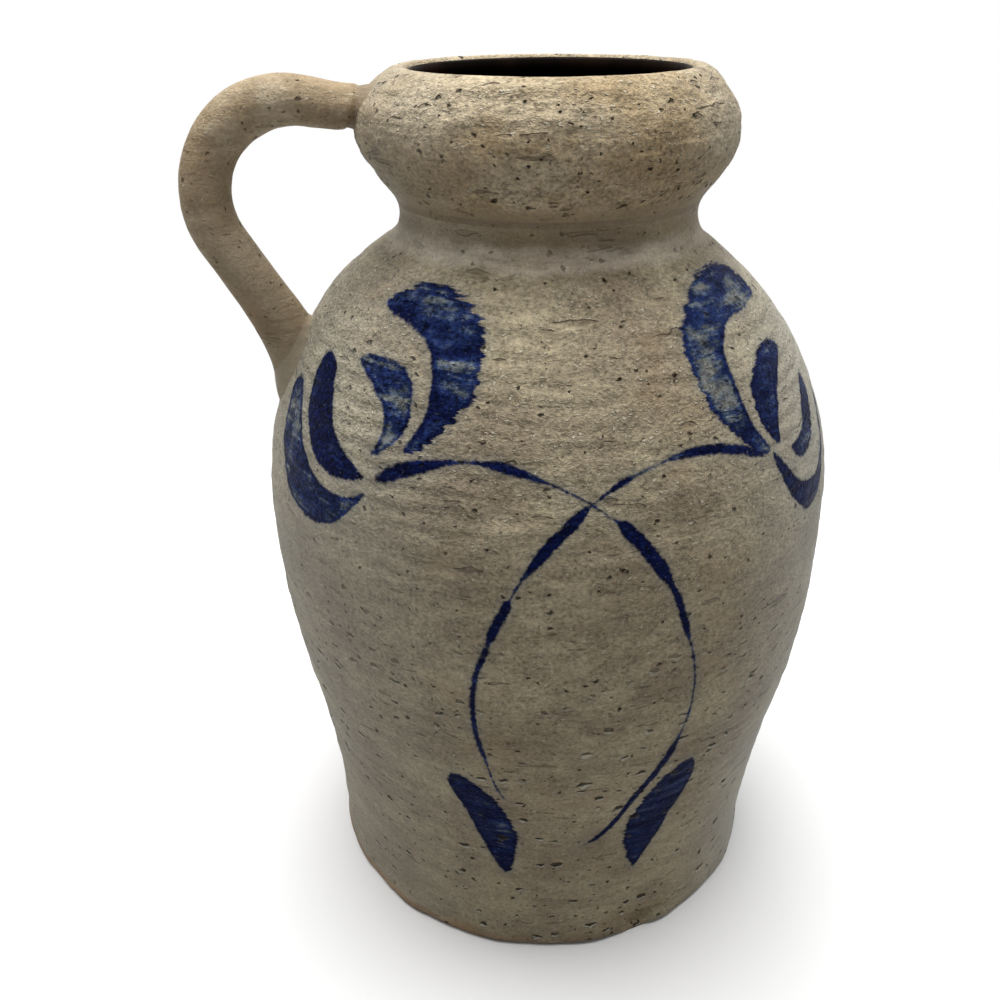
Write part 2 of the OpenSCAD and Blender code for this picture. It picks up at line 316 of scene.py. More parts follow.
def stoneware(tree, light, dark, coarse, pitted, smooth=0, streaky=1):
    """Salt-glazed clay: its colour, roughness and relief, with streaks, pale grog also standing for
    painted glints, and open pits and gouges darkened with painted shade.
    """
    spot = lay(tree, "TexCoord").outputs["Object"]
    rough = reckon(tree, "MULTIPLY", reckon(tree, "SUBTRACT", 1, smooth), coarse)
    drift = eased(tree, clouds(tree, drawn_out(tree, spot, 1.6, (2, 3, 1)), 34, 4, 0.62), 0.34, 0.66)
    streak = clouds(tree, drawn_out(tree, spot, 14, (0, 0, 0)), 22, 2, 0.5)
    dabs = clouds(tree, drawn_out(tree, spot, 2.2, (4, 2, 1)), 150, 3, 0.6)
    grain = clouds(tree, drawn_out(tree, spot, 1.3, (1, 5, 3)), 800, 3, 0.7)
    uneven = reckon(tree, "MULTIPLY", centred(tree, grain), 1.7)
    uneven = reckon(tree, "MULTIPLY_ADD", centred(tree, dabs), 0.8, uneven)
    uneven = reckon(tree, "MULTIPLY", uneven, rough)
    uneven = reckon(tree, "MULTIPLY_ADD", centred(tree, streak), 0.5 * streaky, uneven)
    value = reckon(tree, "MAXIMUM", reckon(tree, "ADD", uneven, 1), 0.25)
    value = lay(tree, "CombineColor", {0: value, 1: value, 2: value}).outputs[0]
    colour = tint(tree, 1.0, tint(tree, drift, dark, light), value, "MULTIPLY")
    loose = rumpled(tree, spot, 650, 2, 0.0022)
    grog = scattered(tree, drawn_out(tree, loose, 2.2, (3, 1, 2)), 600, 0.75, 0.5)
    specks = scattered(tree, drawn_out(tree, loose, 1.2, (7, 2, 5)), 640, 0.3, 0.42)
    pits = scattered(tree, drawn_out(tree, loose, 1.4, (2, 6, 4)), 390, 0.16 * pitted, 0.38)
    holes = scattered(tree, drawn_out(tree, loose, 1.6, (2, 9, 5)), 165, 0.08 * pitted, 0.24)
    pits = reckon(tree, "MAXIMUM", pits, holes)
    torn = 0.70 - 0.02 * pitted
    gouges = blots(tree, drawn_out(tree, spot, 4.5, (5, 3, 9)), 62, 2, torn, torn + 0.04)
    # Pale grog grains, which also stand for painted glints of the glaze
    colour = tint(tree, reckon(tree, "MULTIPLY", grog, reckon(tree, "MULTIPLY", rough, 0.38)),
                  colour, grog_and_glint_pale)
    colour = tint(tree, reckon(tree, "MULTIPLY", specks, 0.6), colour, speck_iron)
    # Painted shade in the torn gouges
    colour = tint(tree, reckon(tree, "MULTIPLY", gouges, reckon(tree, "MULTIPLY", rough, 0.35)),
                  colour, gouge_painted_shade)
    # Painted shade in the open pits, less where the clay is smoothed
    colour = tint(tree, reckon(tree, "MULTIPLY", pits, reckon(tree, "MULTIPLY_ADD", smooth, -0.7, 0.9)),
                  colour, pit_painted_shade)
    relief = reckon(tree, "MULTIPLY", grain, grain_relief)
    relief = reckon(tree, "MULTIPLY_ADD", dabs, dab_relief, relief)
    relief = reckon(tree, "MULTIPLY_ADD", grog, grog_relief, relief)
    relief = reckon(tree, "MULTIPLY_ADD", gouges, gouge_relief, relief)
    relief = reckon(tree, "MULTIPLY_ADD", pits, pit_relief, relief)
    relief = reckon(tree, "MULTIPLY", relief, rough)
    relief = reckon(tree, "MULTIPLY_ADD", reckon(tree, "MULTIPLY", streak, rough),
                    streak_relief * streaky, relief)
    gloss = reckon(tree, "MULTIPLY_ADD", clouds(tree, spot, 60, 3, 0.6), 0.3, 0.3)
    gloss = reckon(tree, "MULTIPLY_ADD", pits, 0.3, gloss)
    return {"spot": spot, "colour": colour, "gloss": gloss, "relief": relief,
            "value": value, "grog": grog, "pits": pits}


def new_finish(name):
    """Empty finish with its shader."""
    material = bpy.data.materials.new(name)
    material.use_nodes = True
    return material, material.node_tree, material.node_tree.nodes["Principled BSDF"]


def fire(tree, shader, colour, gloss, relief, mirror=0.02):
    """Joins colour, roughness and relief to the shader, and says how much its glaze mirrors."""
    tree.links.new(colour, shader.inputs["Base Color"])
    tree.links.new(gloss, shader.inputs["Roughness"])
    bump = lay(tree, "Bump", {"Height": relief, "Distance": 1.0, "Strength": 1.0})
    tree.links.new(bump.outputs[0], shader.inputs["Normal"])
    shader.inputs["Specular IOR Level"].default_value = mirror


body_finish, tree, shader = new_finish("salt_glazed_body")
body_light = (0.355, 0.305, 0.208, 1)
body_dark = (0.255, 0.210, 0.145, 1)
neck_brown = (0.25, 0.19, 0.125, 1)
warm_blush = (0.34, 0.235, 0.125, 1)
flank_sheen_grey = (0.41, 0.405, 0.36, 1)
right_sheen_grey = (0.54, 0.55, 0.51, 1)
bare_orange = (0.40, 0.21, 0.10, 1)
# How much painted sheen lightens the neck's sides, and how much a thicker glaze lightens the clay where
# it pools
neck_side_sheen = (2.1, 2.25, 2.6, 1)
pool_glaze = (2.5, 2.7, 3.2, 1)
# Heights where the clay's tone turns, and the distance from the middle where the flanks begin
neck_from = neck_z - 0.0098
neck_full = neck_z - 0.0066
pool_from = neck_z - 0.0090
pool_full = neck_z - 0.0062
pool_ebbs = neck_z - 0.0048
pool_ends = neck_z - 0.0008
smooth_below = 0.03
coarse_above = 0.16
bare_full = 0.0020
bare_ends = 0.0055
right_sheen_full = 0.04
right_sheen_ebbs = 0.11
flank_from = 0.02
across, height = placed(tree)
aside = reckon(tree, "ABSOLUTE", across)
flank = eased(tree, aside, flank_from, belly_r)
necked = reckon(tree, "MULTIPLY", eased(tree, height, neck_from, neck_full), 0.4)
coarser = reckon(tree, "MULTIPLY_ADD", eased(tree, height, smooth_below, coarse_above), 0.45, 0.8)
coarser = reckon(tree, "MULTIPLY_ADD", flank, 0.15, coarser)
scaly = reckon(tree, "MULTIPLY", eased(tree, across, -0.02, -0.07),
               eased(tree, height, belly_z, neck_z - 0.02))
coarser = reckon(tree, "MULTIPLY_ADD", scaly, 0.45, coarser)
clay = stoneware(tree, body_light, body_dark, coarser, pitted=1.6, smooth=necked, streaky=0.6)
wander = centred(tree, clouds(tree, clay["spot"], 55, 3, 0.6))
wander = reckon(tree, "MULTIPLY_ADD", wander, 0.006, height)
neck_tone = tint(tree, necked, clay["colour"], neck_brown)
# Painted sheen: the neck lightened towards its sides, more on the left than on the right
painted_neck_sheen = reckon(tree, "MULTIPLY", necked, eased(tree, aside, 0.015, 0.042))
painted_neck_sheen = reckon(tree, "MULTIPLY", painted_neck_sheen,
                    reckon(tree, "MULTIPLY_ADD", eased(tree, across, 0.01, -0.035), 0.5, 0.4))
neck_tone = tint(tree, painted_neck_sheen, neck_tone, neck_side_sheen, "MULTIPLY")
pool = reckon(tree, "MULTIPLY", eased(tree, wander, pool_from, pool_full),
              eased(tree, wander, pool_ends, pool_ebbs))
pool_clouds = clouds(tree, drawn_out(tree, clay["spot"], 3, (5, 5, 1)), 90, 4, 0.7)
pool = reckon(tree, "MULTIPLY", pool, eased(tree, pool_clouds, 0.2, 0.6))
pool = reckon(tree, "MULTIPLY", pool,
              reckon(tree, "MULTIPLY_ADD", eased(tree, aside, 0.012, 0.04), -0.55, 0.85))
pooled = tint(tree, pool, neck_tone, pool_glaze, "MULTIPLY")
bare = reckon(tree, "MULTIPLY", eased(tree, wander, bare_ends, bare_full),
              eased(tree, across, 0.0, -0.05))
warm = eased(tree, clouds(tree, drawn_out(tree, clay["spot"], 1.5, (8, 1, 3)), 30, 4, 0.65), 0.52, 0.72)
warm = reckon(tree, "MULTIPLY", warm, reckon(tree, "MULTIPLY_ADD", necked, -0.3, 0.3))
pooled = tint(tree, warm, pooled, warm_blush)
# Painted sheen: the belly lightened and greyed towards its outline on both sides
sheened = tint(tree, reckon(tree, "MULTIPLY", flank, 0.45), pooled, flank_sheen_grey)
# Painted sheen on the right flank, strongest low on the belly
right_sheen = reckon(tree, "MULTIPLY", eased(tree, across, 0.03, belly_r),
                reckon(tree, "MULTIPLY_ADD", eased(tree, height, right_sheen_ebbs, right_sheen_full), 0.45, 0.3))
sheened = tint(tree, right_sheen, sheened, right_sheen_grey)
bared = tint(tree, reckon(tree, "MULTIPLY", bare, 0.55), sheened, bare_orange)

# Brushed cobalt: two tulips of four strokes, their two crossed stems and two leaves at the foot.
# A wash of cobalt under the salt glaze, lying flush in the clay. It is laid on with a loaded brush,
# so it starts blunt, runs dry towards its ends and catches on the throwing lines.
cobalt_thick = (0.003, 0.006, 0.036, 1)
cobalt_full = (0.011, 0.021, 0.074, 1)
cobalt_thin = (0.082, 0.106, 0.130, 1)
cobalt_glint_pale = (0.30, 0.34, 0.38, 1)
cobalt_pit_shade = (0.01, 0.01, 0.012, 1)
halo_grey = (0.14, 0.17, 0.165, 1)
stroke_reach = 0.08
millimetre = 0.001
# Each motif: the bearing that it faces in degrees from the front, and its strokes.
# Each stroke: the centre it is swung about, across and up from the belly in mm, the degrees it runs
# from and to, how ragged its outer edge is in mm, how full the brush was, and the inner and outer
# edges' distances in mm at even steps
left_tulip = (-52, [
    ((3, 53), (117, -36), 2.0, 0.5, (20, 16.5, 16, 17, 18.5, 20, 21.5, 21),
     (20, 23, 25, 27, 30, 31, 27.5, 23.5)),
    ((0, 46), (108, -39), 0.7, 0.3, (12.5, 10.5, 9.5, 9.5, 11, 13, 14, 13),
     (13.5, 14.5, 16, 19, 20.5, 20.5, 17.5, 14)),
    ((2, 52), (163, 300), 0.3, 0.95, (13.5, 12.5, 11.5, 11.5, 12.5, 14, 17, 22),
     (22, 23.5, 24, 23.5, 23.5, 23, 22.5, 23)),
    ((0, 45), (176, 311), 0.5, 0.45, (27, 23, 21, 20, 20, 20, 20.5, 20.5),
     (35, 36, 36.5, 35.5, 32.5, 29, 24, 21))])
right_tulip = (42, [
    ((3, 54), (36, 243), 1.2, 0.26, (22, 14.5, 13, 13.5, 14.5, 15, 17.5, 20),
     (27, 25.5, 23.5, 23.5, 26.5, 27, 24.5, 23)),
    ((8, 43), (53, 222), 1.0, 0.6, (15, 9, 6.5, 6, 5.5, 6.5, 9, 12),
     (17, 16.5, 16, 16, 17, 16.5, 14.5, 13)),
    ((10, 43), (15, -128), 0.9, 0.6, (11.5, 9.5, 7.5, 7.5, 8, 8.5, 9.5, 11.5),
     (18, 17.5, 15.5, 15.5, 15, 15, 14, 13)),
    ((14, 44), (-158, -10), 0.5, 0.75, (21.5, 21, 22.5, 23.5, 24.5, 24, 22, 22.5),
     (23.5, 25.5, 29, 32, 30.5, 27.5, 25, 24))])
leaves = (-2, [
    ((-75, -112), (54, 4), 1.1, 0.72, (59, 55.5, 53.5, 51.5, 50.5, 50.5, 51.5, 53.5),
     (65, 65, 65, 63.5, 62.5, 60, 57, 53.5)),
    ((75, -112), (127, 178), 1.1, 0.62, (62, 55.5, 52.5, 51.5, 50.5, 51, 52.5, 55),
     (67, 67, 66.5, 65.5, 64.5, 61.5, 58, 55))])
# Each stem: its distance from its centre in mm at even steps, and the dabs that it is laid on with, each
# the shares of the stem where the brush is set down and begins to lift, and half its width in mm there
left_stem_run = (71.5, 67, 57.5, 49, 42.5, 38.5, 39, 42, 47, 55.5, 72)
left_stem_dabs = ((0, 0.05, 1.8), (0.125, 0.145, 1.4), (0.285, 0.37, 2.1), (0.42, 0.5, 1.25),
                  (0.79, 0.96, 1.4))
right_stem_run = (69.5, 65, 57, 48, 42, 38, 37, 39, 42.5, 48.5, 59)
right_stem_dabs = ((0, 0.11, 1.25), (0.195, 0.205, 1.0), (0.27, 0.36, 1.8), (0.465, 0.545, 1.5),
                   (0.56, 0.88, 0.9))
end_round = 0.007
halo_out = 0.003
stem_rag = 0.25
stem_full = 1.0
stem_steps = 60
dry_half = 0.4
set_down = 0.02
lift_off = 0.06


def run_at(run, share):
    """Distance of a stem's middle from its centre, on a smooth curve through its even steps."""
    place = share * (len(run) - 1)
    step = min(int(place), len(run) - 2)
    near = [run[min(max(step + k, 0), len(run) - 1)] for k in (-1, 0, 1, 2)]
    ahead = place - step
    rise = (near[2] - near[0]) / 2
    bend = near[0] - 2.5 * near[1] + 2 * near[2] - near[3] / 2
    twist = 1.5 * (near[1] - near[2]) + (near[3] - near[0]) / 2
    return near[1] + ahead * (rise + ahead * (bend + ahead * twist))


def half_at(dabs, share):
    """Half a stem's width: blunt where the brush is set down, thin and dry where it has lifted."""
    half = dry_half
    for start, end, full in dabs:
        pressed = min(1, (share - start) / set_down + 1, (end - share) / lift_off + 1)
        half = max(half, full * pressed)
    return half


def stem(centre, sweep, run, dabs):
    """Stem as a stroke: a thin line along its run, thick and thin as the brush was pressed."""
    shares = [step / stem_steps for step in range(stem_steps + 1)]
    inner = [run_at(run, share) - half_at(dabs, share) for share in shares]
    outer = [run_at(run, share) + half_at(dabs, share) for share in shares]
    return centre, sweep, stem_rag, stem_full, inner, outer


stems = (-2, [stem((-8, -22), (131.3, -83.2), left_stem_run, left_stem_dabs),
              stem((8, -20), (50.8, 241.7), right_stem_run, right_stem_dabs)])


def edge_curve(tree, along, distances):
    """Distance of a stroke's edge from its centre, along the stroke."""
    curve = lay(tree, "FloatCurve", {"Value": along})
    line = curve.mapping.curves[0]
    last = len(distances) - 1
    line.points[0].location = (0, distances[0] * millimetre / stroke_reach)
    line.points[1].location = (1, distances[last] * millimetre / stroke_reach)
    for step in range(1, last):
        line.points.new(step / last, distances[step] * millimetre / stroke_reach)
    for point in line.points:
        point.handle_type = "AUTO_CLAMPED"
    curve.mapping.update()
    return reckon(tree, "MULTIPLY", curve.outputs[0], stroke_reach)


def stroke_depth(tree, flat, ragged, stroke):
    """How far a spot lies inside one stroke's edges, below 0 outside, and how full the brush was."""
    centre, (first, last), rag, full, inner, outer = stroke
    half_sweep = math.radians(abs(last - first)) / 2
    swing = lay(tree, "Mapping", {
        "Vector": flat, "Location": (centre[0] * millimetre, centre[1] * millimetre, 0),
        "Rotation": (0, 0, math.radians(first + last) / 2)}, vector_type="TEXTURE").outputs[0]
    parts = lay(tree, "SeparateXYZ", {"Vector": swing})
    angle = reckon(tree, "ARCTAN2", parts.outputs[1], parts.outputs[0])
    way = 1 if last > first else -1
    along = reckon(tree, "MULTIPLY_ADD", angle, way * 0.5 / half_sweep, 0.5)
    distance = lay(tree, "VectorMath", {0: swing}, operation="LENGTH").outputs["Value"]
    outer_edge = edge_curve(tree, along, outer)
    inner_edge = edge_curve(tree, along, inner)
    outside = reckon(tree, "MULTIPLY_ADD", ragged, rag * millimetre, outer_edge)
    depth = reckon(tree, "MINIMUM", reckon(tree, "SUBTRACT", outside, distance),
                   reckon(tree, "SUBTRACT", distance, inner_edge))
    pressed = eased(tree, reckon(tree, "SUBTRACT", outer_edge, inner_edge), 0.0012, 0.0026)
    full = reckon(tree, "MULTIPLY_ADD", pressed, full * 0.8, full * 0.2)
    length = 2 * half_sweep * sum(outer) / len(outer) * millimetre
    ends = reckon(tree, "MINIMUM", along, reckon(tree, "SUBTRACT", 1, along))
    depth = reckon(tree, "SMOOTH_MIN", depth, reckon(tree, "MULTIPLY", ends, length), end_round)
    return depth, reckon(tree, "MULTIPLY", reckon(tree, "GREATER_THAN", depth, -halo_out), full)


def brushed(tree, spot, ragged, motif):
    """How far a spot lies inside a motif's strokes, on the side that it faces, and how full they are."""
    bearing, strokes = motif
    turned = lay(tree, "Mapping", {
        "Vector": spot, "Rotation": (0, 0, -math.radians(bearing)),
        "Location": (0, 0, -belly_z)}).outputs[0]
    parts = lay(tree, "SeparateXYZ", {"Vector": turned})
    flat = lay(tree, "CombineXYZ", {0: parts.outputs[0], 1: parts.outputs[2]}).outputs[0]
    depth = reckon(tree, "MULTIPLY_ADD", parts.outputs[1], -1, -0.01)
    found, wet = -1, 0
    for stroke in strokes:
        inside, full = stroke_depth(tree, flat, ragged, stroke)
        nearer = reckon(tree, "GREATER_THAN", inside, found)
        found = reckon(tree, "MAXIMUM", found, inside)
        wet = lay(tree, "Mix", {0: nearer, 2: wet, 3: full}, data_type="FLOAT").outputs[0]
    return reckon(tree, "MINIMUM", found, depth), wet


bristles = clouds(tree, drawn_out(tree, clay["spot"], 24, (3, 1, 2)), 24, 4, 0.72)
ragged = reckon(tree, "MULTIPLY_ADD", bristles, 4, -2)
loose = clouds(tree, clay["spot"], 600, 3, 0.65)
loaded, wet = -1, 0
for motif in (left_tulip, right_tulip, stems, leaves):
    depth, full = brushed(tree, clay["spot"], ragged, motif)
    wet = lay(tree, "Mix", {0: reckon(tree, "GREATER_THAN", depth, loaded), 2: wet, 3: full},
              data_type="FLOAT").outputs[0]
    loaded = reckon(tree, "MAXIMUM", loaded, depth)
loaded = reckon(tree, "MULTIPLY_ADD", centred(tree, loose), 0.0016, loaded)
painted = eased(tree, loaded, -0.0004, 0.0005)
halo = reckon(tree, "MULTIPLY", eased(tree, loaded, -0.0028, 0.0002), 0.22)
wash = centred(tree, clouds(tree, clay["spot"], 85, 4, 0.65))
dragged = centred(tree, clouds(tree, drawn_out(tree, clay["spot"], 9, (1, 8, 2)), 55, 3, 0.6))
load = reckon(tree, "MULTIPLY_ADD", wash, 2.2, wet)
load = reckon(tree, "MULTIPLY_ADD", dragged, 1.6, load)
rim = reckon(tree, "MULTIPLY", eased(tree, loaded, 0.0022, 0.0004), 0.35)
load = reckon(tree, "ADD", load, rim)
load = reckon(tree, "MULTIPLY", load, eased(tree, loaded, -0.0006, 0.0003))
cobalt = tint(tree, eased(tree, load, 0.05, 0.5), cobalt_thin, cobalt_full)
cobalt = tint(tree, eased(tree, load, 0.4, 0.95), cobalt, cobalt_thick)
# Painted glints: pale flecks on the cobalt where the grog is strongest
painted_glints = reckon(tree, "MULTIPLY", eased(tree, clay["grog"], 0.8, 1), 0.14)
cobalt = tint(tree, painted_glints, cobalt, cobalt_glint_pale)
for _ in range(2):
    cobalt = tint(tree, 1.0, cobalt, clay["value"], "MULTIPLY")
# Painted shade in the pits that break the cobalt
cobalt = tint(tree, reckon(tree, "MULTIPLY", clay["pits"], 0.8), cobalt, cobalt_pit_shade)
worn_dry = eased(tree, load, 0.35, -0.15)
share = reckon(tree, "MULTIPLY", painted, reckon(tree, "MULTIPLY_ADD", worn_dry, -0.45, 1.0))
haloed = tint(tree, halo, bared, halo_grey)
decorated = tint(tree, share, haloed, cobalt)
sheen = reckon(tree, "MULTIPLY", clay["gloss"], reckon(tree, "MULTIPLY_ADD", share, -0.35, 1))

# Dents low on the wall, torn as the clay was thrown, their hollows darkened with painted shade and each
# with a raised lip under it that carries a painted highlight
dent_painted_shade = (0.03, 0.024, 0.016, 1)
dent_lip_highlight = (0.60, 0.58, 0.50, 1)
dent_deep = -0.0020
dent_scale = 170
dent_share = 0.4
dent_stretch = 2.4
dent_shift = (6, 2, 8)
dents_end = belly_z + 0.03
dents_full = 0.06
lip_up = 0.0006
lip_drop = 0.0008
low_down = eased(tree, height, dents_end, dents_full)
dented = rumpled(tree, clay["spot"], 330, 3, 0.0035)
above = lay(tree, "VectorMath", {0: dented, 1: (0, 0, lip_drop)}, operation="ADD").outputs["Vector"]
dents = scattered(tree, drawn_out(tree, dented, dent_stretch, dent_shift),
                  dent_scale, dent_share, size=0.36, flat=0.7)
dents = reckon(tree, "MULTIPLY", dents, low_down)
dent_lips = scattered(tree, drawn_out(tree, above, dent_stretch, dent_shift),
                      dent_scale, dent_share, size=0.42, flat=0.6)
dent_lips = reckon(tree, "MULTIPLY", dent_lips, low_down)
# Painted highlight on each dent's lower lip, fainter on the cobalt
painted_lip_highlight = reckon(tree, "MULTIPLY", dent_lips, reckon(tree, "MULTIPLY_ADD", share, -0.4, 0.5))
decorated = tint(tree, painted_lip_highlight, decorated, dent_lip_highlight)
# Painted shade inside the dents
decorated = tint(tree, reckon(tree, "MULTIPLY", dents, 0.88), decorated, dent_painted_shade)
pressed_in = reckon(tree, "MULTIPLY_ADD", dent_lips, lip_up, clay["relief"])
pressed_in = reckon(tree, "MULTIPLY_ADD", dents, dent_deep, pressed_in)
ridge = reckon(tree, "MULTIPLY_ADD", clouds(tree, clay["spot"], 16, 2, 0.5), 0.012, height)
ridge = reckon(tree, "SINE", reckon(tree, "MULTIPLY", ridge, 2 * math.pi / throwing_pitch))
ridge = reckon(tree, "MULTIPLY", ridge, eased(tree, clouds(tree, clay["spot"], 30, 2, 0.5), 0.35, 0.65))
ridge = reckon(tree, "MULTIPLY", ridge, coarser)
ridge = reckon(tree, "MULTIPLY", ridge, reckon(tree, "SUBTRACT", 1, necked))
relief = reckon(tree, "MULTIPLY_ADD", ridge, throwing_depth, pressed_in)
fire(tree, shader, decorated, sheen, relief, mirror=0.012)
body.data.materials.append(body_finish)
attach(body, "root")
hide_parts("body", "left_tulip", "right_tulip", "left_stem", "right_stem", "leaves")

# Joining slip at the neck: liquid clay between the neck's half lap and the collar, squeezed out in a
# thin line. Fine grey clay without grog. It is smeared round the joint with a finger, feathers out to
# nothing above and below, and fires into one with the pot.
slip_light = (0.275, 0.222, 0.152, 1)
slip_dark = (0.23, 0.18, 0.122, 1)
slip_on_shoulder = (0.37, 0.325, 0.245, 1)
slip_t = 0.0004
slip_out = 0.00004
feather_in = 7 * slip_out
smear = 0.0020
slip_rounds = 240
# The slip's face over the joint: heights in shares of the smear, and how far out it stands in slip_out
slip_face = ((-0.75, -2.5), (-0.35, 1), (0, 1), (0.35, 1), (0.75, -2.5))


def neck_at(z):
    """Distance of the neck's hollow from the axis at a height."""
    return neck_x - math.sqrt(neck_arc ** 2 - (z - neck_z) ** 2)


slip_ring = draw_from("neck_slip", lap_r, lap_z)
line_to(lap_r + slip_t, lap_z - slip_t, 1)
line_to(neck_at(lap_z - smear) - feather_in, lap_z - smear, 4)
for rise, out in slip_face:
    line_to(neck_at(lap_z + rise * smear) + out * slip_out, lap_z + rise * smear, 1)
line_to(neck_at(lap_z + smear) - feather_in, lap_z + smear, 1)
line_to(lap_r + slip_t, lap_z + slip_t, 4)
line_to(lap_r + slip_t, lap_z + lap_h, 2)
line_to(lap_r, lap_z + lap_h, 1)
line_to(lap_r, lap_z, 2)
throw_round(slip_rounds)
slip_finish, tree, shader = new_finish("joining_slip")
slip_clay = stoneware(tree, slip_light, slip_dark, coarse=1.0, pitted=0.3, smooth=0.6)
height = placed(tree)[1]
lower = reckon(tree, "MULTIPLY", eased(tree, height, neck_z - 0.02, neck_z - 0.045), 0.6)
slip_tone = tint(tree, lower, slip_clay["colour"], slip_on_shoulder)
fire(tree, shader, slip_tone, slip_clay["gloss"], slip_clay["relief"])
slip_ring.data.materials.append(slip_finish)
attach(slip_ring, "root")
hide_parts("neck_slip")

# Collar: the bulbous rim with its rounded lip. Browner, coarser clay of the same kind, torn and pitted.
# It is thrown as a ring of its own and set over the neck's half lap, where its skirt comes flush with
# the neck.
collar_light = (0.43, 0.358, 0.245, 1)
collar_dark = (0.33, 0.25, 0.148, 1)
skirt_brown = (0.265, 0.205, 0.135, 1)
collar_flank_sheen = (0.36, 0.335, 0.275, 1)
collar_rounds = 540
all_round = 20
lap_clear = 0.0005
skirt_out = 0.00002
skirt_z = lap_z + slip_t
skirt_arc = neck_arc - skirt_out
skirt_turn = math.asin((skirt_z + skirt_out - neck_z) / skirt_arc)
bulge_turn = math.atan2(neck_z - collar_z, neck_x - collar_x)
hollow_turn = math.atan2(collar_z - neck_z, collar_x - neck_x)
blend_turn = 0.12
bead_x = mouth_r + bead_r
bead_z = lip_z - bead_r
collar = draw_from("collar", lap_r + lap_clear, skirt_z)
line_to(neck_x - skirt_arc * math.cos(skirt_turn) - skirt_out, skirt_z, 3)
line_to(neck_x - skirt_arc * math.cos(skirt_turn), skirt_z + skirt_out, 2)
arc_about(neck_x, neck_z, hollow_turn + skirt_turn - math.pi, 12)
line_to(collar_x + collar_arc * math.cos(bulge_turn + blend_turn),
        collar_z + collar_arc * math.sin(bulge_turn + blend_turn), 3)
arc_about(collar_x, collar_z, lip_turn - bulge_turn - blend_turn, 76)
arc_about(bead_x, bead_z, math.pi, 16)
arc_about(collar_x, collar_z, bulge_turn - lip_turn, 14)
arc_about(neck_x, neck_z, math.pi - inner_lap_turn - hollow_turn, 3)
line_to(lap_r + lap_clear, lap_z + lap_h + lap_clear, 2)
line_to(lap_r + lap_clear, skirt_z, 2)
throw_round(collar_rounds)
swell(collar, bearing=0, spread=all_round, low=lap_z + 0.004, high=lip_z, depth=0.0012)
swell(collar, bearing=math.pi, spread=math.radians(70),
      low=lap_z + 0.008, high=lip_z + 0.0005, depth=0.0019)
mark_skin(collar, low=lap_z + 0.0022, full_low=lap_z + 0.0085,
          full_high=lip_z - 0.005, high=lip_z + 0.004)
roughen(collar, "uneven_throwing", "CLOUDS", grain=0.03, depth=0.0008, stretch=1)
roughen(collar, "torn_clay", "STUCCI", grain=0.006, depth=0.0009, stretch=2)
roughen(collar, "open_pits", "CLOUDS", grain=0.0026, depth=0.0007, stretch=1.6)
collar_finish, tree, shader = new_finish("salt_glazed_collar")
across, height = placed(tree)
lowered = eased(tree, height, lap_z + 0.0065, lap_z + 0.0005)
collar_clay = stoneware(tree, collar_light, collar_dark, coarse=1.35, pitted=2.6,
                        smooth=reckon(tree, "MULTIPLY", lowered, 0.6))
collar_tone = tint(tree, reckon(tree, "MULTIPLY", lowered, 0.7), collar_clay["colour"], skirt_brown)
# Painted sheen: the collar lightened and greyed towards its outline on both sides
collar_flank = eased(tree, reckon(tree, "ABSOLUTE", across), 0.02, collar_r)
collar_tone = tint(tree, reckon(tree, "MULTIPLY", collar_flank, 0.4), collar_tone, collar_flank_sheen)
fire(tree, shader, collar_tone, collar_clay["gloss"], collar_clay["relief"])
collar.data.materials.append(collar_finish)
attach(collar, "root")
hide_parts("collar")

# Handle: a strap of clay pulled to an oval section, bent from the collar out and down to the shoulder.
# The same clay, smoothed by the wet hand that pulls it. Its upper end is butted on the collar, and its
# tail is pressed out flat on the shoulder.
handle_light = (0.47, 0.395, 0.28, 1)
handle_dark = (0.295, 0.224, 0.14, 1)
handle_painted_shade = (0.235, 0.182, 0.118, 1)
handle_rust = (0.34, 0.20, 0.09, 1)
tail_grey = (0.34, 0.295, 0.215, 1)
hand_grain = 0.02
hand_depth = 0.0006
handle_w = 0.0160
handle_low_w = 0.0152
handle_d = 0.019
bend_x = 0.074
bend_z = lip_z - 0.034
bend_r = 0.0257
bend_first = math.radians(97)
bend_last = math.radians(-30)
fall = 0.010
seat = 0.00085
tail_seat = 0.0003
root_w = 0.0130
root_d = 0.0182
root_gap = 0.0044
root_round = 0.0008
bend_w = 0.0144
tail_w = 0.027
tail_d = 0.022
tail_z = belly_z + 0.0445
handle_sides = 48
root_steps = 10
bend_steps = 28
full_steps = 9
tail_steps = 12


def way_at(angle):
    """Way at an angle in the handle's plane: x is the distance from the pot's axis."""
    return Vector((math.cos(angle), 0, math.sin(angle)))


def on_collar(angle, share, lift):
    """Point of the handle's upper end, shrunk or spread by share, lifted off the collar's wall."""
    y = share * root_d / 2 * math.sin(angle)
    z = root_z + share * root_w / 2 * math.cos(angle)
    reach = collar_x + math.sqrt((collar_arc + lift) ** 2 - (z - collar_z) ** 2)
    return Vector((math.sqrt(reach ** 2 - y ** 2), y, z))


def on_shoulder(angle, share, lift):
    """Point of the handle's tail, shrunk or spread by share, lifted off the shoulder's wall."""
    y = share * tail_d / 2 * math.sin(angle)
    z = tail_z - share * tail_w / 2 * math.cos(angle)
    reach = shoulder_x + math.sqrt((shoulder_arc + lift) ** 2 - (z - belly_z) ** 2)
    return Vector((math.sqrt(reach ** 2 - y ** 2), y, z))


def oval(centre, out, thick, angle):
    """Point of the handle's oval section about a place on its centre line."""
    aside = Vector((0, handle_d / 2 * math.sin(angle), 0))
    return centre + out * (thick / 2 * math.cos(angle)) + aside


def pulled(start, start_pull, end, end_pull, share):
    """Point of a smooth run that leaves the start and reaches the end along the two pulls."""
    rest = 1 - share
    return (start * rest ** 3 + (start + start_pull) * (3 * share * rest ** 2)
            + (end + end_pull) * (3 * share ** 2 * rest) + end * share ** 3)


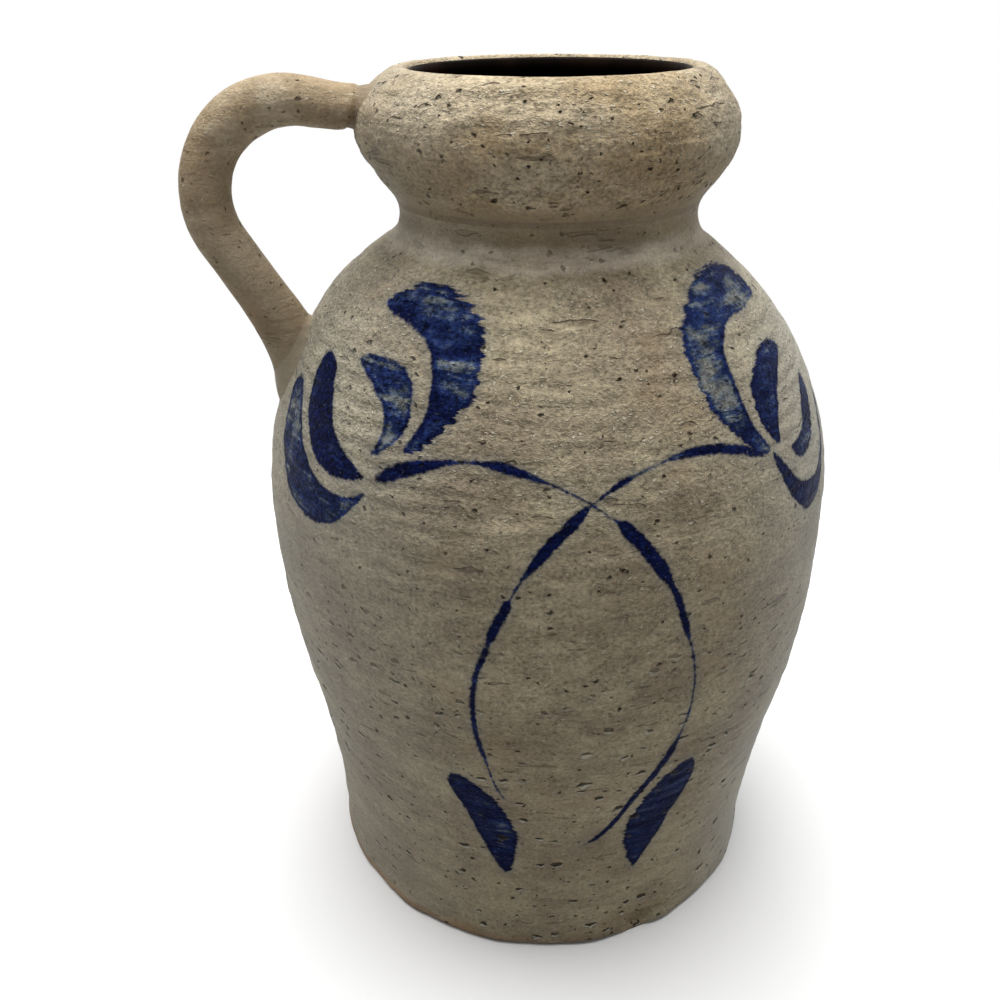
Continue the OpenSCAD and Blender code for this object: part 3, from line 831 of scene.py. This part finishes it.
def pull_clay(name, rings):
    """Lofts a piece of clay by extruding ring after ring of points, on the handle's side of the pot."""
    bpy.ops.object.select_all(action="DESELECT")
    bpy.ops.mesh.primitive_circle_add(vertices=len(rings[0]), radius=0.01, fill_type="NGON")
    piece = bpy.context.object
    piece.name = name
    bpy.ops.object.mode_set(mode="EDIT")
    bpy.ops.mesh.select_all(action="SELECT")
    mesh = bmesh.from_edit_mesh(piece.data)
    last_ring = [vertex.co.copy() for vertex in mesh.faces[:][0].verts]
    for number, ring in enumerate(rings):
        if number:
            bpy.ops.mesh.extrude_region_move(TRANSFORM_OT_translate={"value": (0, 0, 0)})
        mesh = bmesh.from_edit_mesh(piece.data)
        turned = [Vector((-point.x, point.y, point.z)) for point in ring]
        end = [face for face in mesh.faces if face.select][0]
        for vertex in end.verts:
            spot = min(range(len(ring)), key=lambda k: (last_ring[k] - vertex.co).length_squared)
            vertex.co = turned[spot]
        bmesh.update_edit_mesh(piece.data)
        last_ring = turned
    bpy.ops.mesh.select_all(action="SELECT")
    bpy.ops.mesh.normals_make_consistent(inside=False)
    bpy.ops.object.mode_set(mode="OBJECT")
    bpy.ops.object.shade_smooth()
    return piece


bend_c = Vector((bend_x, 0, bend_z))
bend_in = bend_c + way_at(bend_first) * bend_r
root_way = way_at(bend_first + math.pi / 2)
root_z = bend_in.z - (bend_in.x - collar_r) * math.tan(bend_first - math.pi / 2)
fall_way = way_at(bend_last - math.pi / 2)
fall_end = bend_c + way_at(bend_last) * bend_r + fall_way * fall
sides = [2 * math.pi * k / handle_sides for k in range(handle_sides)]
root_pull = (bend_in.x - collar_r - root_gap) / 3
tail_pull = tail_w / 2


def tail_end(side, share, lift):
    """Point of the tail's end on the shoulder, drawn up where it points down the wall."""
    return on_shoulder(side, share * (0.88 - 0.12 * math.cos(side)), lift)


def tail_point(side, share):
    """Point of the tail, from the end of the straight fall to the shoulder."""
    start_pull = fall_way * (tail_pull * (1 + math.cos(side) / 2))
    end_pull = Vector(((1 - math.cos(side)) / 12, 0, (3 + math.cos(side)) / 6)) * tail_pull
    start = oval(fall_end, way_at(bend_last), handle_low_w, side)
    return pulled(start, start_pull, tail_end(side, 1, tail_seat), end_pull, share)


def root_point(side, share):
    """Point of the handle's upper run, from its end on the collar to the bend."""
    start = on_collar(side, 1, root_gap + root_round)
    end = oval(bend_in, way_at(bend_first), bend_w, side)
    return pulled(start, Vector((root_pull, 0, 0)), end, root_way * root_pull, share)


# The handle's end on the collar: rings as shares of its section, and their lift off the collar's wall
root_end = ((0.5, seat), (0.8, seat), (0.82, root_gap * 0.6), (0.93, root_gap * 0.8), (0.985, root_gap))
handle_rings = []
for share, lift in root_end:
    handle_rings.append([on_collar(side, share, lift) for side in sides])
for step in range(root_steps):
    handle_rings.append([root_point(side, step / root_steps) for side in sides])
for step in range(bend_steps + 1):
    out = way_at(bend_first + (bend_last - bend_first) * step / bend_steps)
    thick = handle_w + (handle_low_w - handle_w) * step / bend_steps
    thick = min(thick, bend_w + (handle_w - bend_w) * step / full_steps)
    handle_rings.append([oval(bend_c + out * bend_r, out, thick, side) for side in sides])
for step in range(tail_steps + 1):
    handle_rings.append([tail_point(side, step / tail_steps) for side in sides])
for share in (0.9, 0.6):
    handle_rings.append([tail_end(side, share, tail_seat) for side in sides])
handle = pull_clay("handle", handle_rings)
bpy.ops.object.modifier_add(type="SUBSURF")
handle.modifiers[-1].levels = 1
handle.modifiers[-1].render_levels = 1
bpy.ops.object.modifier_apply(modifier=handle.modifiers[-1].name)
handle_skin = handle.vertex_groups.new(name="skin")
handle_skin.add([vertex.index for vertex in handle.data.vertices], 1, "REPLACE")
roughen(handle, "pulled_by_hand", "CLOUDS", grain=hand_grain, depth=hand_depth, stretch=1)
roughen(handle, "grog_drag", "CLOUDS", grain=0.003, depth=0.0002, stretch=1)
handle_finish, tree, shader = new_finish("salt_glazed_handle")
handle_clay = stoneware(tree, handle_light, handle_dark, coarse=0.9, pitted=1.6, smooth=0.3)
height = placed(tree)[1]
rusty = reckon(tree, "MULTIPLY", eased(tree, height, belly_z + 0.085, belly_z + 0.055),
               eased(tree, clouds(tree, handle_clay["spot"], 70, 3, 0.6), 0.45, 0.68))
# Painted shade: the handle darker from just below its top down its fall
lower_handle_shade = reckon(tree, "MULTIPLY", eased(tree, height, lip_z - 0.015, belly_z + 0.06), 0.65)
handle_tone = tint(tree, lower_handle_shade, handle_clay["colour"], handle_painted_shade)
handle_tone = tint(tree, reckon(tree, "MULTIPLY", rusty, 0.4), handle_tone, handle_rust)
tail_share = reckon(tree, "MULTIPLY", eased(tree, height, tail_z + 0.012, tail_z - 0.010), 0.55)
handle_tone = tint(tree, tail_share, handle_tone, tail_grey)
fire(tree, shader, handle_tone, handle_clay["gloss"], handle_clay["relief"])
handle.data.materials.append(handle_finish)
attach(handle, "root")
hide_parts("handle")

# Joining slip at the handle's two ends: a soft web of liquid clay between handle and pot.
# Fine grey clay without grog. It is smoothed round each end with a wet finger, thick at the handle
# and feathered out on the wall.
web_spread = 1.6
web_cuts = 14
web_hold = root_gap + 0.0012
web_bed = 0.0016
web_back = 0.003
web_grip = 0.87
web_pinch = 0.12
web_corner = 0.0007
tail_corner = 0.0009
tail_hold = 0.72
tail_spread = 1.18
tail_drop = 0.16


def on_bulge(angle, share, lift):
    """Point of the web's edge on the collar, at a share of the handle's end, measured round the bulge."""
    y = share * root_d / 2 * math.sin(angle)
    climb = math.asin((root_z - collar_z) / collar_arc)
    climb += share * root_w / 2 * math.cos(angle) / collar_arc
    reach = collar_x + (collar_arc + lift) * math.cos(climb)
    z = collar_z + (collar_arc + lift) * math.sin(climb)
    return Vector((math.sqrt(reach ** 2 - y ** 2), y, z))


def web_ring(step):
    """Ring of the upper web, which sweeps hollow from inside the handle's end out to the collar."""
    ring = []
    for side in sides:
        held = web_grip - web_pinch * math.sin(side) ** 2
        start = on_collar(side, held, web_hold)
        corner = on_collar(side, held, web_corner)
        end = on_bulge(side, web_spread, -web_bed)
        ring.append(pulled(start, (corner - start) * 0.75, end, (corner - end) * 0.6, step / web_cuts))
    return ring


upper_web = [[on_collar(side, 0.6, web_hold) for side in sides]]
upper_web += [web_ring(step) for step in range(web_cuts + 1)]
upper_web.append([on_bulge(side, web_spread * 0.9, -web_back) for side in sides])
upper_slip = pull_clay("handle_upper_slip", upper_web)


def tail_share_at(side):
    """How far the lower web spreads past the tail's end, further down the wall than up it."""
    return tail_spread + tail_drop * math.cos(side)


def tail_ring(step):
    """Ring of the lower web, which sweeps hollow from the handle's tail out to the shoulder."""
    ring = []
    for side in sides:
        start = tail_point(side, tail_hold) + (tail_end(side, 0.9, 0) - tail_end(side, 1, 0)) * 0.35
        corner = tail_end(side, 1, tail_corner)
        end = tail_end(side, tail_share_at(side), -web_bed)
        ring.append(pulled(start, (corner - start) * 0.7, end, (corner - end) * 0.7, step / web_cuts))
    return ring


lower_web = [[tail_point(side, tail_hold).lerp(tail_end(side, 0.2, 0.002), 0.4) for side in sides]]
lower_web += [tail_ring(step) for step in range(web_cuts + 1)]
lower_web.append([tail_end(side, 0.9 * tail_share_at(side), -web_back) for side in sides])
lower_slip = pull_clay("handle_lower_slip", lower_web)
for slip, node in ((upper_slip, "handle_upper_slip"), (lower_slip, "handle_lower_slip")):
    slip_skin = slip.vertex_groups.new(name="skin")
    slip_skin.add([vertex.index for vertex in slip.data.vertices], 1, "REPLACE")
    roughen(slip, "pulled_by_hand", "CLOUDS", grain=hand_grain, depth=hand_depth, stretch=1)
    slip.data.materials.append(slip_finish)
    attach(slip, "root")
    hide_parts(node)

# Liner glaze: the coat that makes the pot watertight, from its floor up to the inner side of the lip.
# Glossy black-brown iron glaze. It is poured in, swilled round and poured out before firing.
liner_black = (0.006, 0.004, 0.003, 1)
liner_brown = (0.016, 0.009, 0.006, 1)
liner_t = 0.0006
liner_bed = 0.001
liner_edge = math.radians(-90)
liner_rounds = 240


def line_inside(way):
    """Draws on along the inside of the pot, up from the floor's corner to the lip, or back down."""
    runs = [(corner_x, floor_up + floor_arc, math.pi / 2, 8),
            (foot_r + lower_arc, foot_h, corner_turn - lower_turn, 10),
            (belly_r - lower_arc, belly_z, lower_turn, 10),
            (shoulder_x, belly_z, shoulder_turn, 16),
            (neck_x, neck_z, hollow_turn - math.pi - shoulder_turn, 8),
            (collar_x, collar_z, lip_turn - bulge_turn, 12),
            (bead_x, bead_z, liner_edge, 8)]
    for x, z, turn, cuts in runs[::way]:
        arc_about(x, z, way * turn, cuts)


liner = draw_from("liner_glaze", 0, floor_up + liner_t)
line_to(corner_x, floor_up + liner_t, 4)
line_inside(1)
edge_way = lip_turn + math.pi + liner_edge
edge_r = bead_r - liner_bed
line_to(bead_x + edge_r * math.cos(edge_way), bead_z + edge_r * math.sin(edge_way), 2)
line_inside(-1)
line_to(0, floor_up - liner_bed, 2)
throw_round(liner_rounds)
liner_finish, tree, shader = new_finish("iron_liner_glaze")
spot = lay(tree, "TexCoord").outputs["Object"]
upright = lay(tree, "Mapping", {"Vector": spot, "Scale": (6, 6, 1)}).outputs[0]
runs_down = clouds(tree, upright, 12, 3, 0.6)
liner_tone = tint(tree, eased(tree, runs_down, 0.35, 0.7), liner_black, liner_brown)
liner_gloss = reckon(tree, "MULTIPLY_ADD", clouds(tree, spot, 90, 3, 0.6), 0.2, 0.3)
fire(tree, shader, liner_tone, liner_gloss, reckon(tree, "MULTIPLY", runs_down, 0.0006))
liner.data.materials.append(liner_finish)
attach(liner, "root")
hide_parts("liner_glaze")

# Studio: a plain white floor, one broad soft light overhead and white all round, as on a photo table.
# The camera stands where the photograph was taken, a little above the lip and close to the jug.
floor_size = 60
floor_white = (0.86, 0.86, 0.86, 1)
floor_bounce = (0.48, 0.48, 0.48, 1)
shade_r = 0.16
white_r = 0.45
room_front = 0.11
room_back = 0.64
room_bright_side = (0.34, 0.94, 0)
lamp_size = 1.1
lamp_power = 22.5
lamp_place = (-0.05, 0.1, 1.15)
lamp_aim = (0, 0, 0.1)


def seen_rays(tree):
    """The light path, and 1 on it where the surface is seen straight, mirrored or through glass."""
    ray = lay(tree, "LightPath")
    through = reckon(tree, "MAXIMUM", ray.outputs["Is Glossy Ray"], ray.outputs["Is Transmission Ray"])
    return ray, reckon(tree, "MAXIMUM", ray.outputs["Is Camera Ray"], through)


bpy.ops.object.select_all(action="DESELECT")
bpy.ops.mesh.primitive_plane_add(size=floor_size)
floor = bpy.context.object
floor.name = "studio_floor"
floor_finish, tree, shader = new_finish("studio_white")
shader.inputs["Roughness"].default_value = 0.9
spot = lay(tree, "TexCoord").outputs["Object"]
away = lay(tree, "VectorMath", {0: spot}, operation="LENGTH").outputs["Value"]
ray, seen = seen_rays(tree)
white = lay(tree, "Emission", {"Color": (1, 1, 1, 1), "Strength": 1.0})
fade = reckon(tree, "MULTIPLY", seen, eased(tree, away, shade_r, white_r))
mixed = lay(tree, "MixShader", {0: fade, 1: shader.outputs[0], 2: white.outputs[0]})
tree.links.new(mixed.outputs[0], tree.nodes["Material Output"].inputs["Surface"])
bounced = tint(tree, ray.outputs["Is Diffuse Ray"], floor_white, floor_bounce)
tree.links.new(bounced, shader.inputs["Base Color"])
floor.data.materials.append(floor_finish)

world = bpy.data.worlds.new("white_room")
bpy.context.scene.world = world
world.use_nodes = True
tree = world.node_tree
seen = seen_rays(tree)[1]
toward = lay(tree, "VectorMath", {0: lay(tree, "TexCoord").outputs["Generated"], 1: room_bright_side},
             operation="DOT_PRODUCT").outputs["Value"]
fill = reckon(tree, "MULTIPLY_ADD", eased(tree, toward, -0.8, 0.4), room_back - room_front, room_front)
tree.nodes["Background"].inputs["Color"].default_value = (1, 1, 1, 1)
tree.links.new(reckon(tree, "MAXIMUM", seen, fill), tree.nodes["Background"].inputs["Strength"])

bpy.ops.object.light_add(type="AREA", location=lamp_place)
lamp = bpy.context.object
lamp.name = "overhead"
lamp.data.size = lamp_size
lamp.data.energy = lamp_power
lamp.rotation_euler = (Vector(lamp_aim) - Vector(lamp_place)).to_track_quat("-Z", "Y").to_euler()

sensor = 36
lens = 36
camera_back = 0.308088
camera_up = 0.291134
camera_round = math.radians(-10)
camera_swing = math.radians(2.851)
camera_dip = math.radians(27.561)
camera_roll = math.radians(-0.597)
camera_data = bpy.data.cameras.new("photo_table_camera")
camera_data.sensor_width = sensor
camera_data.lens = lens
camera = bpy.data.objects.new("photo_table_camera", camera_data)
bpy.context.collection.objects.link(camera)
stand = Matrix.Rotation(camera_round, 3, "Z") @ Vector((0, -camera_back, camera_up))
turn = (Matrix.Rotation(camera_round + camera_swing, 3, "Z")
        @ Matrix.Rotation(math.pi / 2 - camera_dip, 3, "X")
        @ Matrix.Rotation(camera_roll, 3, "Z"))
camera.matrix_world = Matrix.Translation(stand) @ turn.to_4x4()
bpy.context.scene.camera = camera
bpy.context.scene.view_settings.view_transform = "Standard"
